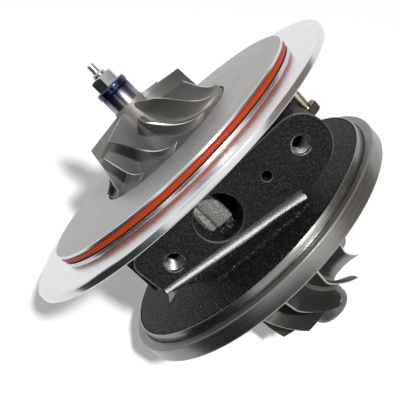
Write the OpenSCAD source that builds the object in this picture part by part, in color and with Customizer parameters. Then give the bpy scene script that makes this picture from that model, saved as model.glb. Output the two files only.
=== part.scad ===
// Turbo cartridge: bearing housing, back plate and rotor of an oil-cooled turbocharger.
// Millimetres. X is the rotor axis toward the compressor nut, Z is square to the oil pad,
// and the origin is on the axis in the compressor cover's seat.

/* [Back plate] */
// Radius of the clamping flange
flange_r = 75; // [70:0.5:80]
// Thickness of the clamping flange
flange_t = 3; // [2.5:0.1:4]
// Radius of the spigot that enters the compressor cover
spigot_r = 60.4; // [58:0.1:62]
// Height of the spigot above the seat
spigot_h = 4.7; // [4.4:0.1:6]
// Section diameter of the compressor cover's O-ring
o_ring_d = 2.2; // [1.8:0.1:2.4]
// Depth of the recess behind the compressor wheel
wheel_recess = 3; // [2.6:0.1:3.2]
// Radius of the boss that enters the housing
boss_r = 24.9; // [24.5:0.1:25.4]
// Section diameter of the inner O-ring
inner_ring_d = 1.8; // [1.6:0.1:2]

/* [Housing] */
// Radius of the turbine flange
turbine_flange_r = 64.3; // [63:0.1:66]
// Thickness of the turbine flange's rim
turbine_rim_t = 7; // [6:0.1:8]
// Radius of the raised cast face in front of the rim
cast_face_r = 59.8; // [58:0.1:59.8]
// Radius of the spigot that enters the turbine housing
turbine_spigot_r = 55; // [53:0.5:57]
// Radius of the barrel round the bearings
barrel_r = 27; // [26:0.5:29]
// Height of the oil pad's face above the axis
pad_z = 46; // [44:0.5:48]
// Thickness of the oil pad
pad_t = 16.5; // [15:0.5:18]
// Radius of the oil drain
drain_r = 8.85; // [8:0.05:9.5]
// Radius of the oil inlet
inlet_r = 1.9; // [1.5:0.1:2.2]
// Wall radius of the pad's tapped holes, for M8
pad_hole_r = 3.4; // [3.2:0.05:3.5]
// Round on the pad's turbine-side edge
pad_round = 4.5; // [3:0.1:5]

/* [Rotor] */
// Radius of the compressor wheel at its outlet
comp_r = 30.6; // [29:0.1:30.8]
// Radius of the compressor wheel's inlet
comp_inlet_r = 23.6; // [22:0.1:25]
// Full blades on the compressor wheel, with as many splitters
comp_blades = 6; // [5:1:8]
// Largest radius of the turbine wheel
turb_r = 29.5; // [28:0.1:31]
// Radius of the turbine wheel's outlet
turb_outlet_r = 25.2; // [23:0.1:26]
// Blades on the turbine wheel
turb_blades = 10; // [9:1:12]
// Radius of the shaft's journals
journal_r = 5; // [4.5:0.1:5.5]
// Radius of the shaft's stub through the compressor wheel
stub_r = 3; // [2.6:0.1:3.4]
// Length of the rotor in front of the seat, to the shaft's end
shaft_end = 45.6; // [44.5:0.1:48]
// Length of the rotor behind the seat, to the turbine wheel's nose
rotor_back = 101.5; // [99:0.5:106]
// Width of the shaft nut across its flats
nut_af = 9; // [8:0.5:10]

/* [Bolts] */
// Radius of the circle of back plate bolts
bolt_circle_r = 54.4; // [53:0.2:55]
// Radius of the bolt's shank
bolt_r = 2.2; // [2:0.1:2.5]
// Width of the bolt's head across its flats
bolt_af = 8; // [7:0.5:8]

/* [Hidden] */
$fn = 96;

// Clearances: running shaft, floating bush, static location, piece beside a turning one
shaft_gap = 0.03;
bush_gap = 0.04;
seat_gap = 0.1;
turn_gap = 0.4;
end_gap = 0.2;

// Stations along the axis, from the compressor to the turbine
plate_back = -flange_t;
boss_end = -8.2;
inner_groove_x = -6.9;
deflector_t = 0.8;
thrust_t = 4;
thrust_front = boss_end - deflector_t;
thrust_back = thrust_front - thrust_t;
collar_t = 2.1;
collar_back = thrust_back - end_gap - collar_t;
pocket_back = thrust_back - 3;
bush_l = 9;
comp_bush_x = -23;
turb_bush_x = -40;
circlip_t = 1.2;
boss_back = -46.5;
chamber_back = -48;
cast_face_x = -40.9;
rim_front = -44.3;
rim_back = rim_front - turbine_rim_t;
turbine_spigot_l = 3;
hub_back = -55.5;
wheel_back = -58.6;
hub_front = -49.4;
neck_l = 2;

// Radii inside the housing
bush_r = 8;
boss_seat_r = boss_r + seat_gap;
collar_r = 11.5;
sleeve_r = 7.6;
sleeve_bore_r = sleeve_r + turn_gap;
turb_hub_r = 8.6;
neck_r = 7.2;
turb_bore_r = turb_hub_r + 0.6;
inner_boss_r = 12.5;
chamber_r = 21;
chamber_side = 11;
chamber_floor = 6;
circlip_r = 8.5;
circlip_in_r = 7;
circlip_gap = 5;
gallery_r = 1.25;
gallery_y = -10.5;

// Oil pad: places in X and Y, seen square to its face
drain_x = -19.3;
plug_l = 2.6;
plug_gap = 0.4;
plug_inset = 0.3;
inlet_y = -(barrel_r - plug_inset - plug_l - plug_gap - inlet_r);
pad_x = -20.1;
pad_hole_y = [-37.6, 21.7];
pad_end_r = 11.4;
pad_hole_depth = 15;
pedestal_w = 52;
web_l = 42;
web_slope = 50;
drain_land = 8.6;
drain_core_r = drain_r - 0.85;
bridge_r = 6.2;
bridge_y = 1.2;

// Directions of the back plate bolts, from Z toward -Y
bolt_angles = [62.6, 155, 247.4];
lug_back = -17.5;
lug_w = 11;
bolt_depth = 5.5;
bolt_head_h = 3.5;

// Wheel recess and compressor wheel
recess_x = spigot_h - wheel_recess;
wheel_x = recess_x + 0.6;
comp_disc_x = spigot_h - 0.2;
comp_out_x = comp_disc_x + 2.2;
comp_in_x = 22;
hub_in_x = 24.4;
hub_nose_r = 6.8;
nose_end = 32.2;
nose_r = 6.4;

// Shaft nut and shaft tip
nut_collar_r = 6.65;
nut_collar_t = 3;
nut_l = 4.7;
nut_seat = nose_end;
nut_front = nut_seat + nut_collar_t + nut_l;
thread_end = nut_front + 1.4;
tip_r = 1.5;

// Turbine wheel
turb_in_x = -60.4;
turb_step_x = -67.5;
turb_out_x = -88.3;
turb_root_out_x = -92;
turb_nose_x = -rotor_back;
turb_root_r = 9.3;
turb_nose_round = 2.6;

// Heat shield: radii of its dish inside and outside the wheel's tip, and its flat rim
dish_in = 4.5;
dish_out = 3.5;
dish_rim = 9;

module on_axis() {
    rotate([0, 90, 0]) children();
}

module turned(points) {
    on_axis() rotate_extrude() polygon(points);
}

module ring(r_in, r_out, x0, x1) {
    turned([[r_in, x0], [r_out, x0], [r_out, x1], [r_in, x1]]);
}

module rod(r, x0, x1) {
    translate([x0, 0, 0]) on_axis() cylinder(r = r, h = x1 - x0);
}

// Turns a child from the Z direction toward -Y
module at_angle(a) {
    rotate([a, 0, 0]) children();
}

// Round bar section bent into a ring
module torus(r, d, x) {
    translate([x, 0, 0]) on_axis() rotate_extrude() translate([r, 0]) circle(d = d, $fn = 48);
}

module hex_bar(af, x0, x1) {
    translate([x0, 0, 0]) on_axis() cylinder(r = af / sqrt(3), h = x1 - x0, $fn = 6);
}

// Pad outline: a round end, a long taper and a blunt end with one round corner
pad_edge = [[-38.2, -25.2], [-32, 31.7]];
pad_end = [-20.8, -37];
pad_edge_turn = atan2(pad_edge[0][0] - pad_edge[1][0], pad_edge[1][1] - pad_edge[0][1]);
pad_edge_l = norm(pad_edge[1] - pad_edge[0]);
pad_corner_r = 4;
pad_front_x = -9.6;
pad_end_y = 33;

module pad_prism(z0, z1) {
    translate([0, 0, z0]) linear_extrude(z1 - z0) polygon([
        [pad_end[0] + pad_end_r - 0.2, pad_end[1]], [pad_end[0] - pad_end_r + 0.1, pad_end[1]],
        [-33.7, -34.6], [-34.1, -26.4], pad_edge[0], pad_edge[1],
        [-20, pad_end_y - 0.4], [pad_front_x - pad_corner_r, pad_end_y - 0.1],
        [pad_front_x - 0.1, pad_end_y - pad_corner_r]]);
    translate([pad_end[0], pad_end[1], z0]) cylinder(r = pad_end_r, h = z1 - z0);
    translate([pad_front_x - pad_corner_r, pad_end_y - pad_corner_r, z0])
        cylinder(r = pad_corner_r, h = z1 - z0);
}

module pad_edge_round() {
    // The round stands a little proud of the faces it joins, so that it crosses them
    proud = 0.06;
    translate([pad_edge[0][0], pad_edge[0][1], pad_z - pad_round]) rotate([0, 0, pad_edge_turn])
        difference() {
            translate([-2, -1, proud]) cube([2 + pad_round, pad_edge_l + 2, pad_round + 1]);
            translate([pad_round - proud, -2, proud]) rotate([-90, 0, 0])
                cylinder(r = pad_round, h = pad_edge_l + 4);
        }
}

// Web that slopes from the pad's round down to the turbine flange
module pad_web() {
    reach = 10;
    top_u = pad_round * (1 - sin(web_slope));
    top_z = pad_z - pad_round * (1 - cos(web_slope)) - 0.2;
    translate([pad_edge[0][0], pad_edge[0][1], 0]) rotate([0, 0, pad_edge_turn])
        translate([0, web_l + 0.5, 0]) rotate([90, 0, 0]) linear_extrude(web_l)
            polygon([[pad_round, 10], [pad_round, top_z], [top_u, top_z],
                [top_u - reach, top_z - reach * tan(web_slope)], [top_u - reach, 10]]);
}

// Cast bridge with a rib, across the core of the oil drain
module drain_bridge() {
    half = drain_core_r + 0.5;
    top = pad_z - drain_land - 0.2;
    translate([0, bridge_y, top - bridge_r - 0.8]) rod(bridge_r, drain_x - half, drain_x + half);
    translate([drain_x - half, bridge_y - 0.8, top - bridge_r]) cube([2 * half, 1.6, bridge_r]);
}

module bolt_lug() {
    translate([lug_back, -lug_w / 2, barrel_r - 3])
        cube([plate_back - lug_back, lug_w, bolt_circle_r - barrel_r + 3]);
}

module housing_body() {
    turned([[0, plate_back], [32, plate_back], [32, -14], [barrel_r, -18], [barrel_r, -35],
        [34, cast_face_x], [cast_face_r - 1, cast_face_x], [cast_face_r, cast_face_x - 1],
        [cast_face_r, rim_front], [turbine_flange_r - 0.4, rim_front],
        [turbine_flange_r, rim_front - 0.4], [turbine_flange_r, rim_back + 0.6],
        [turbine_flange_r - 0.6, rim_back], [turbine_spigot_r, rim_back],
        [turbine_spigot_r, rim_back - turbine_spigot_l], [48, rim_back - turbine_spigot_l],
        [43, chamber_back - 1.5], [24, chamber_back - 1.5], [14, hub_back], [0, hub_back]]);
    difference() {
        pad_prism(pad_z - pad_t, pad_z);
        pad_edge_round();
    }
    pad_web();
    translate([-31, -pedestal_w / 2, 0]) cube([31 + pad_front_x - 0.5, pedestal_w, pad_z - pad_t + 1]);
    // Skirt under the pad's blunt end, and the small fin at its corner
    translate([-28.4, 20, pad_z - pad_t - 1]) cube([16.4, 17, 7.5]);
    translate([0, 0, pad_z - pad_t + 1]) linear_extrude(pad_t - 7)
        polygon([[-31.6, 30.8], [-27, 31.2], [-27.4, 32.6], [-33, 36.2]]);
    for (a = bolt_angles) at_angle(a) bolt_lug();
}

module oil_chamber() {
    intersection() {
        difference() {
            rod(chamber_r, chamber_back, thrust_back + 1);
            rod(inner_boss_r, boss_back, pocket_back);
            // Rib along the top of the inner boss
            translate([boss_back, -1, 0]) cube([pocket_back - boss_back, 2, inner_boss_r + 1.6]);
        }
        translate([chamber_back - 1, -chamber_side, -chamber_floor]) cube(3 * chamber_r);
    }
}

module bearing_housing() {
    color("#2b2b2b") difference() {
        housing_body();
        // Seat of the back plate's boss and pocket of the thrust collar
        rod(boss_seat_r, thrust_back, 1);
        rod(collar_r + turn_gap + 1.1, pocket_back, 0);
        rod(bush_r, chamber_back - 1, 0);
        rod(turb_bore_r, hub_back - 1, chamber_back + 1);
        for (x = [comp_bush_x, turb_bush_x], s = [-1, 1])
            rod(circlip_r + 0.05, x + s * (bush_l / 2 + 0.1 + circlip_t / 2) - circlip_t / 2 - 0.05,
                x + s * (bush_l / 2 + 0.1 + circlip_t / 2) + circlip_t / 2 + 0.05);
        oil_chamber();
        // Oil drain, inlet and the drillings that feed the bearings
        translate([drain_x, 0, 16]) cylinder(r = drain_core_r, h = pad_z);
        translate([drain_x, 0, pad_z - drain_land]) cylinder(r = drain_r, h = drain_land + 1);
        translate([pad_x, inlet_y, 0]) cylinder(r = inlet_r, h = pad_z + 1);
        translate([pad_x, gallery_y, 0]) rotate([90, 0, 0]) cylinder(r = inlet_r, h = 30);
        translate([0, gallery_y, 0]) rod(gallery_r, turb_bush_x - 1.8, thrust_back + 1);
        for (x = [comp_bush_x, turb_bush_x])
            translate([x, gallery_y, 0]) rotate([-90, 0, 0]) cylinder(r = 1, h = 4);
        // Tapped holes for the oil pipe, with a small chamfer
        for (y = pad_hole_y) translate([pad_x, y, pad_z]) {
            translate([0, 0, -pad_hole_depth]) cylinder(r = pad_hole_r, h = pad_hole_depth + 1);
            translate([0, 0, -0.4]) cylinder(r1 = pad_hole_r, r2 = pad_hole_r + 0.5, h = 0.5);
        }
        // Half-round saddles for the bolts, and holes for the thrust dowels
        for (a = bolt_angles) at_angle(a) translate([0, 0, bolt_circle_r])
            rod(bolt_r + 0.3, lug_back - 1, 0);
        for (a = bolt_angles) at_angle(a) translate([0, 0, bolt_circle_r])
            rod(bolt_af / sqrt(3) + 0.6, lug_back - bolt_head_h - 3, lug_back);
        for (a = [-dowel_a, dowel_a]) at_angle(a) translate([0, 0, dowel_circle_r])
            rod(dowel_r, thrust_back - dowel_depth, thrust_back + 1);
    }
    color("#2b2b2b") drain_bridge();
}

module back_plate() {
    groove_w = o_ring_d + 0.5;
    groove_x = 1;
    groove_r = spigot_r - o_ring_d - 0.1;
    inner_w = inner_ring_d + 0.4;
    inner_x = inner_groove_x;
    inner_r = boss_r - inner_ring_d - 0.05;
    color("#c9c9c6") difference() {
        turned([[sleeve_bore_r, recess_x], [comp_r + 0.8, recess_x], [comp_r + 0.8, spigot_h],
            [spigot_r - 0.3, spigot_h], [spigot_r, spigot_h - 0.3],
            [spigot_r, groove_x + groove_w], [groove_r, groove_x + groove_w], [groove_r, groove_x],
            [spigot_r, groove_x], [spigot_r, 0], [flange_r - 0.5, 0], [flange_r, -0.5],
            [flange_r, plate_back + 0.4], [flange_r - 0.4, plate_back], [boss_r, plate_back],
            [boss_r, inner_x + inner_w], [inner_r, inner_x + inner_w], [inner_r, inner_x],
            [boss_r, inner_x], [boss_r, boss_end + 0.4], [boss_r - 0.4, boss_end],
            [collar_r + 1.5, boss_end], [collar_r + 1.5, -6.2], [sleeve_bore_r, -6.2]]);
        for (a = bolt_angles) at_angle(a) translate([0, 0, bolt_circle_r])
            rod(bolt_r + 0.05, plate_back - 1, plate_back + bolt_depth + 0.5);
    }
}

module back_plate_bolts() {
    color("#b59a68") for (a = bolt_angles) at_angle(a) translate([0, 0, bolt_circle_r]) {
        rod(bolt_r, lug_back - 0.5, plate_back + bolt_depth);
        intersection() {
            hex_bar(bolt_af, lug_back - bolt_head_h, lug_back);
            turned([[0, lug_back - bolt_head_h], [bolt_af / 2 - 0.2, lug_back - bolt_head_h],
                [bolt_af / sqrt(3), lug_back - bolt_head_h + 0.5], [bolt_af / sqrt(3), lug_back],
                [0, lug_back]]);
        }
    }
}

module compressor_o_ring() {
    color("#b4532f") torus(spigot_r - o_ring_d / 2 - 0.05, o_ring_d, 1 + (o_ring_d + 0.5) / 2);
}

module housing_o_ring() {
    color("#222222") torus(boss_seat_r - inner_ring_d / 2 - 0.02, inner_ring_d,
        inner_groove_x + (inner_ring_d + 0.4) / 2);
}

// Split ring: a ring with a gap cut in it
module split_ring(r_in, r_out, x0, x1, gap, a) {
    difference() {
        ring(r_in, r_out, x0, x1);
        at_angle(a) translate([x0 - 1, -gap / 2, 0]) cube([x1 - x0 + 2, gap, r_out + 1]);
    }
}

seal_w = 1.5;
comp_seal_x = -1.6;

module compressor_seal_ring() {
    color("#4a4a4c") split_ring(sleeve_r - 0.7, sleeve_bore_r, comp_seal_x, comp_seal_x + seal_w, 0.4, 90);
}

module oil_deflector() {
    color("#9a9c9e") difference() {
        ring(collar_r + 1.2, boss_r - 0.6, boss_end - deflector_t, boss_end);
        for (a = [-dowel_a, dowel_a]) at_angle(a) translate([0, 0, dowel_circle_r])
            rod(dowel_r + 0.1, boss_end - 2, boss_end + 1);
    }
}

dowel_r = 1.5;
dowel_a = 115;
dowel_circle_r = 18.5;
dowel_depth = 4;
thrust_bore_r = 7.1;
pad_groove_w = 1.2;
feed_l = 6;

module thrust_bearing() {
    color("#b08d57") difference() {
        ring(thrust_bore_r, boss_r - 0.2, thrust_back, thrust_front);
        // Oil escape toward the drain
        translate([thrust_back - 1, -9, 13]) cube([thrust_t + 2, 18, 20]);
        for (a = [-dowel_a, dowel_a]) at_angle(a) translate([0, 0, dowel_circle_r])
            rod(dowel_r, thrust_back - 1, thrust_front + 1);
        // Feed groove on the housing side and radial pad grooves on both faces
        rotate([90, 0, 0]) translate([thrust_back, 0, thrust_bore_r - 1]) cylinder(r = 0.8, h = feed_l);
        for (k = [0 : 5], x = [thrust_back, thrust_front])
            at_angle(90 + 60 * k) translate([x - 0.3, -pad_groove_w / 2, thrust_bore_r - 1])
                cube([0.6, pad_groove_w, collar_r - thrust_bore_r + 0.6]);
    }
}

module thrust_dowels() {
    color("#8d8f92") for (a = [-dowel_a, dowel_a]) at_angle(a) translate([0, 0, dowel_circle_r])
        rod(dowel_r, thrust_back - dowel_depth + 0.2, thrust_front);
}

module thrust_collar() {
    color("#85878a") turned([[stub_r, collar_back], [collar_r, collar_back],
        [collar_r, collar_back + collar_t], [6.5, collar_back + collar_t],
        [6.5, thrust_front + end_gap], [stub_r, thrust_front + end_gap]]);
}

module flinger_sleeve() {
    x0 = thrust_front + end_gap;
    color("#7b7d80") turned([[stub_r, x0], [collar_r, x0], [collar_r, x0 + 2], [sleeve_r, x0 + 2.4],
        [sleeve_r, comp_seal_x - 0.2], [sleeve_r - 1, comp_seal_x - 0.2],
        [sleeve_r - 1, comp_seal_x + seal_w + 0.2], [sleeve_r, comp_seal_x + seal_w + 0.2],
        [sleeve_r, wheel_x - 0.3], [stub_r, wheel_x - 0.3]]);
}

// Floating bush with six radial oil holes
module bush(x) {
    color("#b5863c") difference() {
        turned([[journal_r + shaft_gap, x - bush_l / 2], [bush_r - bush_gap - 0.4, x - bush_l / 2],
            [bush_r - bush_gap, x - bush_l / 2 + 0.4], [bush_r - bush_gap, x + bush_l / 2 - 0.4],
            [bush_r - bush_gap - 0.4, x + bush_l / 2], [journal_r + shaft_gap, x + bush_l / 2]]);
        for (a = [0 : 60 : 300]) at_angle(a) translate([x, 0, 0]) cylinder(r = 0.9, h = bush_r + 2, $fn = 24);
    }
}

module journal_bearing_compressor() {
    bush(comp_bush_x);
}

module journal_bearing_turbine() {
    bush(turb_bush_x);
}

module bearing_circlips() {
    color("#55575a") for (x = [comp_bush_x, turb_bush_x], s = [-1, 1])
        split_ring(circlip_in_r, circlip_r, x + s * (bush_l / 2 + 0.1 + circlip_t / 2) - circlip_t / 2,
            x + s * (bush_l / 2 + 0.1 + circlip_t / 2) + circlip_t / 2, circlip_gap, 180);
}

turb_seal_x = -53.4;

module turbine_shaft() {
    color("#a6a8ab") turned([[0, wheel_back], [turb_hub_r, wheel_back], [turb_hub_r, turb_seal_x - 0.2],
        [turb_hub_r - 1.4, turb_seal_x - 0.2], [turb_hub_r - 1.4, turb_seal_x + seal_w + 0.2],
        [turb_hub_r, turb_seal_x + seal_w + 0.2], [turb_hub_r, hub_front], [neck_r, hub_front], [neck_r, hub_front + neck_l],
        [journal_r, hub_front + neck_l + 0.6], [journal_r, turb_bush_x + bush_l / 2 + 1.4],
        [journal_r - 0.4, turb_bush_x + bush_l / 2 + 2], [journal_r - 0.4, comp_bush_x - bush_l / 2 - 2],
        [journal_r, comp_bush_x - bush_l / 2 - 1.4], [journal_r, collar_back], [stub_r, collar_back],
        [stub_r, thread_end - 0.4], [stub_r - 0.4, thread_end], [tip_r + 0.1, thread_end],
        [tip_r, shaft_end - 0.3], [tip_r - 0.3, shaft_end], [0, shaft_end]]);
}

module turbine_seal_ring() {
    color("#4a4a4c") split_ring(turb_hub_r - 1, turb_bore_r, turb_seal_x, turb_seal_x + seal_w, 0.4, 90);
}

// Pressed dish between the housing and the turbine wheel
module heat_shield() {
    t = 0.8;
    x0 = rim_back - turbine_spigot_l;
    x1 = hub_back - 1.9;
    dish = [turb_r - dish_in, turb_r + dish_out, turbine_spigot_r - dish_rim];
    color("#8f8a80") turned([[turb_hub_r + 1.2, x1 - t], [dish[0], x1 - t],
        [dish[1], x0 - 2.2 - t], [dish[2], x0 - t], [turbine_spigot_r - 0.5, x0 - t],
        [turbine_spigot_r - 0.5, x0], [dish[2] + 0.3, x0], [dish[1] + 0.2, x0 - 2.2],
        [dish[0] + 0.2, x1], [turb_hub_r + 1.2, x1]]);
}

module gallery_plug() {
    color("#777777") translate([pad_x, inlet_y - inlet_r - plug_gap, 0]) rotate([90, 0, 0])
        cylinder(r = inlet_r, h = plug_l);
}

// Solid blade from two sheets of stations, side 0 and side 1, nu by nv cells each
module sheet_blade(pts, nu, nv) {
    n = (nu + 1) * (nv + 1);
    function id(s, i, j) = s * n + i * (nv + 1) + j;
    polyhedron(points = pts, faces = concat(
        [for (i = [0 : nu - 1], j = [0 : nv - 1]) each [
            [id(0, i, j), id(0, i + 1, j), id(0, i + 1, j + 1)],
            [id(0, i, j), id(0, i + 1, j + 1), id(0, i, j + 1)],
            [id(1, i, j), id(1, i + 1, j + 1), id(1, i + 1, j)],
            [id(1, i, j), id(1, i, j + 1), id(1, i + 1, j + 1)]]],
        [for (i = [0 : nu - 1]) each [
            [id(0, i, 0), id(1, i + 1, 0), id(0, i + 1, 0)], [id(0, i, 0), id(1, i, 0), id(1, i + 1, 0)],
            [id(0, i, nv), id(0, i + 1, nv), id(1, i + 1, nv)],
            [id(0, i, nv), id(1, i + 1, nv), id(1, i, nv)]]],
        [for (j = [0 : nv - 1]) each [
            [id(0, 0, j), id(0, 0, j + 1), id(1, 0, j + 1)], [id(0, 0, j), id(1, 0, j + 1), id(1, 0, j)],
            [id(0, nu, j), id(1, nu, j + 1), id(0, nu, j + 1)],
            [id(0, nu, j), id(1, nu, j), id(1, nu, j + 1)]]]));
}

// A point from its station on the axis, radius and angle from Z toward Y
function polar(x, r, a) = [x, r * sin(a), r * cos(a)];

// Compressor blade: u runs from inlet to outlet, v from hub to tip
comp_hub_r = function (u) hub_nose_r + (comp_r - hub_nose_r) * (1 - cos(90 * u));
comp_hub_x = function (u) hub_in_x - (hub_in_x - comp_disc_x) * sin(90 * u);
comp_tip_r = function (u) comp_inlet_r + (comp_r - comp_inlet_r) * (1 - cos(90 * u));
comp_tip_x = function (u) comp_in_x - (comp_in_x - comp_out_x) * sin(90 * u);
comp_wrap = function (u, v) -(5 + 8 * v) * (1 - pow(1 - u, 5)) - 32 * pow(u, 1.6);
comp_half = function (u, v) (0.75 - 0.4 * v) * (0.55 + 0.45 * sin(180 * min(1, u + 0.15)));

function comp_point(u, v, s) =
    let (r = comp_hub_r(u) * (1 - v) + comp_tip_r(u) * v - (v == 0 ? 0.7 : 0),
        x = comp_hub_x(u) * (1 - v) + comp_tip_x(u) * v - (v == 0 ? 0.7 * u : 0))
    polar(x, r, comp_wrap(u, v) + s * comp_half(u, v) / r * 180 / PI);

module comp_blade(u0) {
    nu = 9;
    nv = 3;
    sheet_blade([for (s = [-1, 1], i = [0 : nu], j = [0 : nv])
        comp_point(u0 + (1 - u0) * i / nu * 0.995, j / nv, s)], nu, nv);
}

module compressor_wheel() {
    steps = 14;
    lead = 32.6;
    color("#8b8b88") difference() {
        union() {
            turned(concat([[0, wheel_x - 0.3], [8.4, wheel_x - 0.3], [9, wheel_x], [comp_r, wheel_x + 0.1]],
                [for (i = [steps : -1 : 0]) [comp_hub_r(i / steps), comp_hub_x(i / steps)]],
                [[nose_r, hub_in_x + 1.4], [nose_r, nose_end - 0.3], [nose_r - 0.3, nose_end],
                [0, nose_end]]));
            for (k = [0 : comp_blades - 1]) {
                rotate([-lead + 360 / comp_blades * k, 0, 0]) comp_blade(0);
                rotate([-lead + 360 / comp_blades * (k + 0.5), 0, 0]) comp_blade(0.16);
            }
        }
        rod(stub_r, -1, nose_end + 1);
    }
}

module shaft_nut() {
    color("#9fa3a8") difference() {
        union() {
            turned([[0, nut_seat], [nut_collar_r, nut_seat], [nut_collar_r, nut_seat + nut_collar_t - 0.4],
                [nut_collar_r - 0.4, nut_seat + nut_collar_t], [0, nut_seat + nut_collar_t]]);
            intersection() {
                hex_bar(nut_af, nut_seat + 1, nut_front);
                turned([[0, nut_seat], [nut_af / sqrt(3), nut_seat], [nut_af / sqrt(3), nut_front - 0.6],
                    [nut_af / 2 - 0.1, nut_front], [0, nut_front]]);
            }
        }
        rod(stub_r, nut_seat - 1, nut_front + 1);
    }
}

// Turbine blade: u runs from inlet to outlet, v from hub to tip
turb_hub_line = function (u) turb_root_r + (turb_r - 5 - turb_root_r) * pow(1 - min(1, u / 0.62), 2.2);
turb_tip_r = function (u) u < 0.2 ? turb_r : turb_r - (turb_r - turb_outlet_r) * sin(90 * (u - 0.2) / 0.8);
turb_x = function (u, v) turb_in_x + (turb_root_out_x + (turb_out_x - turb_root_out_x) * v - turb_in_x) * u;
turb_wrap = function (u, v) -28 * pow(max(0, u - 0.55) / 0.45, 1.6) * (1 + 1.1 * (1 - v));
turb_half = function (u, v) (1.1 - 0.65 * v) * (0.6 + 0.4 * sin(180 * min(1, u + 0.2)));

function turb_point(u, v, s) =
    let (h = turb_hub_line(u) - 0.8, r = h * (1 - v) + turb_tip_r(u) * v)
    polar(turb_x(u, v), r, turb_wrap(u, v) + s * turb_half(u, v) / r * 180 / PI);

module turb_blade() {
    nu = 10;
    nv = 3;
    sheet_blade([for (s = [-1, 1], i = [0 : nu], j = [0 : nv]) turb_point(i / nu, j / nv, s)], nu, nv);
}

module turbine_wheel() {
    steps = 12;
    color("#5b574d") union() {
        turned(concat([[0, wheel_back], [turb_hub_r + 0.4, wheel_back], [turb_r - 4.5, turb_in_x + 0.6],
            [turb_r - 4.8, turb_in_x - 0.3]],
            [for (i = [1 : steps]) [turb_hub_line(0.62 * i / steps), turb_x(0.62 * i / steps, 0)]],
            [[turb_root_r, turb_nose_x + turb_nose_round],
            [turb_root_r - 0.3 * turb_nose_round, turb_nose_x + 0.3 * turb_nose_round],
            [turb_root_r - turb_nose_round, turb_nose_x], [0, turb_nose_x]]));
        for (k = [0 : turb_blades - 1]) rotate([-17 + 360 / turb_blades * k, 0, 0]) turb_blade();
    }
}

bearing_housing();
back_plate();
back_plate_bolts();
compressor_o_ring();
housing_o_ring();
compressor_seal_ring();
oil_deflector();
thrust_bearing();
thrust_dowels();
thrust_collar();
flinger_sleeve();
journal_bearing_compressor();
journal_bearing_turbine();
bearing_circlips();
turbine_shaft();
turbine_wheel();
turbine_seal_ring();
heat_shield();
gallery_plug();
compressor_wheel();
shaft_nut();
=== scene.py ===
"""Turbo cartridge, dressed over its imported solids: castings, turned metal, two bladed wheels and a studio."""

import math

import bmesh
import bpy
from mathutils import Euler, Matrix, Vector


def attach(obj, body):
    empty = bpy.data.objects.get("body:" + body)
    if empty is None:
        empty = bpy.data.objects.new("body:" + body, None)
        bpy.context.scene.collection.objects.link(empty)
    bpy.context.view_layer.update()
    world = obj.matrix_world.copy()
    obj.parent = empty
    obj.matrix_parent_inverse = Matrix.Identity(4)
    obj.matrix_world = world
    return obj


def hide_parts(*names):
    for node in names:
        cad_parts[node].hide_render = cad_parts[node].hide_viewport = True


bl_info = {
    "name": "Turbo Cartridge",
    "version": (1, 0, 0),
    "blender": (4, 5, 0),
    "location": "3D View > Sidebar > Cartridge",
    "description": "Builds the visible pieces of a turbocharger cartridge and its studio",
    "category": "Object",
}

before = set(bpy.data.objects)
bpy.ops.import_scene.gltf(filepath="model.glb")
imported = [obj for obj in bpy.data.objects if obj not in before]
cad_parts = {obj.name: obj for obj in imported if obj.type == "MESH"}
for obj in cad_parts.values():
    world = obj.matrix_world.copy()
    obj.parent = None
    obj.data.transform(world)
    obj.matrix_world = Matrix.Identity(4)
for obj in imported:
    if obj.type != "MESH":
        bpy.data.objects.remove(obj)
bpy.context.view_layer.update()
MM = 0.001


# Sizes and colours

def length_prop(name, description, default):
    return bpy.props.FloatProperty(name=name, description=description, default=default, unit="LENGTH")


def power_prop(name, description, default):
    return bpy.props.FloatProperty(name=name, description=description, default=default, unit="POWER")


def factor_prop(name, description, default):
    return bpy.props.FloatProperty(name=name, description=description, default=default, subtype="FACTOR")


def colour_prop(name, description, default):
    return bpy.props.FloatVectorProperty(name=name, description=description, default=default, subtype="COLOR")


class CartridgeSizes(bpy.types.PropertyGroup):
    """Sizes of the visible pieces."""

    flange_radius: length_prop("Flange radius", "Outer radius of the clamping flange", 0.075)
    flange_thickness: length_prop("Flange thickness", "Thickness of the clamping flange", 0.003)
    spigot_radius: length_prop("Spigot radius", "Radius of the disc that enters the cover", 0.0604)
    spigot_height: length_prop("Spigot height", "Height of that disc over its seat", 0.0047)
    ring_section: length_prop("O-ring section", "Diameter of the cover's O-ring", 0.0022)
    compressor_radius: length_prop("Compressor radius", "Outlet radius of the compressor wheel", 0.0306)
    compressor_blades: bpy.props.IntProperty(
        name="Compressor blades", description="Full blades, with as many splitters", default=6)
    turbine_radius: length_prop("Turbine radius", "Largest radius of the turbine wheel", 0.0295)
    turbine_blades: bpy.props.IntProperty(
        name="Turbine blades", description="Blades of the turbine wheel", default=10)
    nut_width: length_prop("Nut width", "Width of the shaft nut across its flats", 0.009)


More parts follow.
